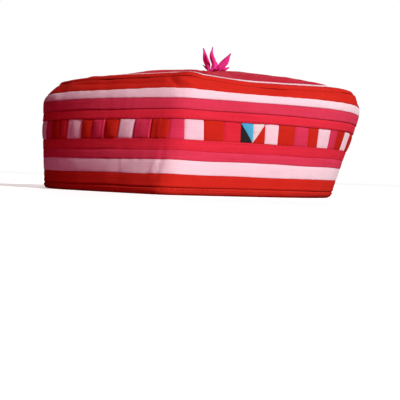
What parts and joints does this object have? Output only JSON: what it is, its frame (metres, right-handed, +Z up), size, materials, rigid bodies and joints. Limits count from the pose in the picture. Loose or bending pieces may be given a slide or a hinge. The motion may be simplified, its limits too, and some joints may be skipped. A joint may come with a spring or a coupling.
{
  "type": "patchwork taqiyah skullcap",
  "caption": "Soft cloth skullcap with a striped patchwork band, front and back creases, an almost flat crown and a small petal tuft.",
  "frame": {"origin": "on the surface the cap stands on, below the middle of its bounding box", "axes": "+Z up through the crown, -Y towards the front crease, +X towards the wearer's left"},
  "size_m": [0.2002, 0.202, 0.0936],
  "materials": {
    "red_cloth": "plain-woven red cotton, matt",
    "pale_pink_cloth": "plain-woven pale pink cotton, matt",
    "magenta_cloth": "plain-woven raspberry pink cotton, matt",
    "rose_cloth": "plain-woven crimson pink cotton, matt",
    "patch_cloth": "pieced cotton squares in red, rose, magenta and pale pink",
    "lining_cloth": "dark red cotton, matt",
    "tuft_cloth": "folded hot pink cloth with a slight sheen"
  },
  "bodies": {
    "root": {"band_lining": "lining_cloth", "hem_binding": "red_cloth", "red_strip_lower": "red_cloth", "pale_strip_lower": "pale_pink_cloth", "magenta_strip_lower": "magenta_cloth", "rose_strip_lower": "rose_cloth", "patchwork_row": "patch_cloth", "rose_strip_upper": "rose_cloth", "magenta_strip_upper": "magenta_cloth", "pale_strip_upper": "pale_pink_cloth", "red_strip_upper": "red_cloth", "crown_red_strip": "red_cloth", "crown_pale_strip": "pale_pink_cloth", "crown_panel_front_right": "magenta_cloth", "crown_panel_back_right": "magenta_cloth", "crown_panel_back_left": "magenta_cloth", "crown_panel_front_left": "magenta_cloth", "tuft": "tuft_cloth"}
  },
  "joints": []
}
